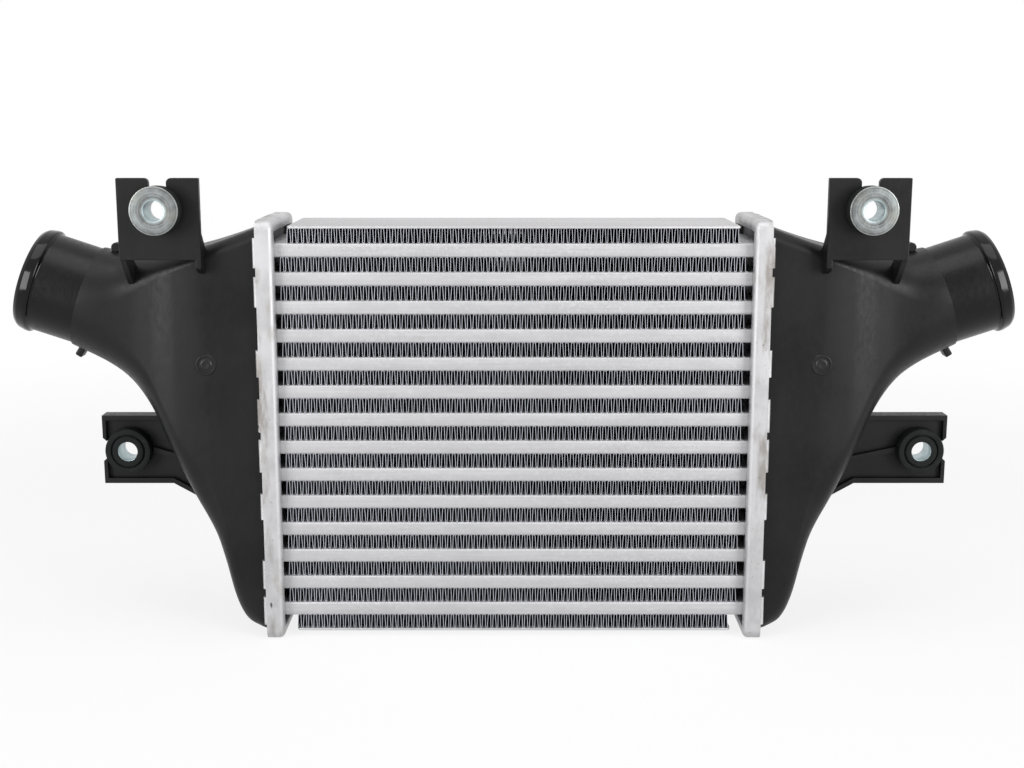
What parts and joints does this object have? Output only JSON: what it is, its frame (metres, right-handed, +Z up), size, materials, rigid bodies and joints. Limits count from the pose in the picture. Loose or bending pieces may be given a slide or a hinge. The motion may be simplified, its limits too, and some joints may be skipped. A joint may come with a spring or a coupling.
{
  "type": "intercooler",
  "caption": "Air-to-air intercooler: flat tubes and folded fins between crimped header plates, moulded end tanks with angled hose spigots and rubber-bushed mounting arms.",
  "frame": {"origin": "middle of the whole width and depth, level with the lower ends of the header plates it stands on", "axes": "+X towards the tank with the longer lower arm, -Y towards the pictured side, +Z up"},
  "size_m": [0.5454, 0.0904, 0.2517],
  "materials": {
    "core_aluminium": "matt",
    "fin_aluminium": "satin",
    "header_aluminium": "matt",
    "gasket_rubber": "matt",
    "tank_plastic": "semi-matt",
    "bush_rubber": "matt",
    "bush_zinc": "zinc plated"
  },
  "bodies": {
    "root": {"tube_01": "core_aluminium", "tube_02": "core_aluminium", "tube_03": "core_aluminium", "tube_04": "core_aluminium", "tube_05": "core_aluminium", "tube_06": "core_aluminium", "tube_07": "core_aluminium", "tube_08": "core_aluminium", "tube_09": "core_aluminium", "tube_10": "core_aluminium", "tube_11": "core_aluminium", "tube_12": "core_aluminium", "tube_13": "core_aluminium", "tube_14": "core_aluminium", "turbulator_01": "core_aluminium", "turbulator_02": "core_aluminium", "turbulator_03": "core_aluminium", "turbulator_04": "core_aluminium", "turbulator_05": "core_aluminium", "turbulator_06": "core_aluminium", "turbulator_07": "core_aluminium", "turbulator_08": "core_aluminium", "turbulator_09": "core_aluminium", "turbulator_10": "core_aluminium", "turbulator_11": "core_aluminium", "turbulator_12": "core_aluminium", "turbulator_13": "core_aluminium", "turbulator_14": "core_aluminium", "air_fin_01": "fin_aluminium", "air_fin_02": "fin_aluminium", "air_fin_03": "fin_aluminium", "air_fin_04": "fin_aluminium", "air_fin_05": "fin_aluminium", "air_fin_06": "fin_aluminium", "air_fin_07": "fin_aluminium", "air_fin_08": "fin_aluminium", "air_fin_09": "fin_aluminium", "air_fin_10": "fin_aluminium", "air_fin_11": "fin_aluminium", "air_fin_12": "fin_aluminium", "air_fin_13": "fin_aluminium", "air_fin_14": "fin_aluminium", "air_fin_15": "fin_aluminium", "top_side_plate": "core_aluminium", "bottom_side_plate": "core_aluminium", "left_header_plate": "header_aluminium", "left_gasket": "gasket_rubber", "left_tank": "tank_plastic", "left_upper_grommet": "bush_rubber", "left_upper_sleeve": "bush_zinc", "left_lower_grommet": "bush_rubber", "left_lower_sleeve": "bush_zinc", "right_header_plate": "header_aluminium", "right_gasket": "gasket_rubber", "right_tank": "tank_plastic", "right_upper_grommet": "bush_rubber", "right_upper_sleeve": "bush_zinc", "right_lower_grommet": "bush_rubber", "right_lower_sleeve": "bush_zinc"}
  },
  "joints": []
}
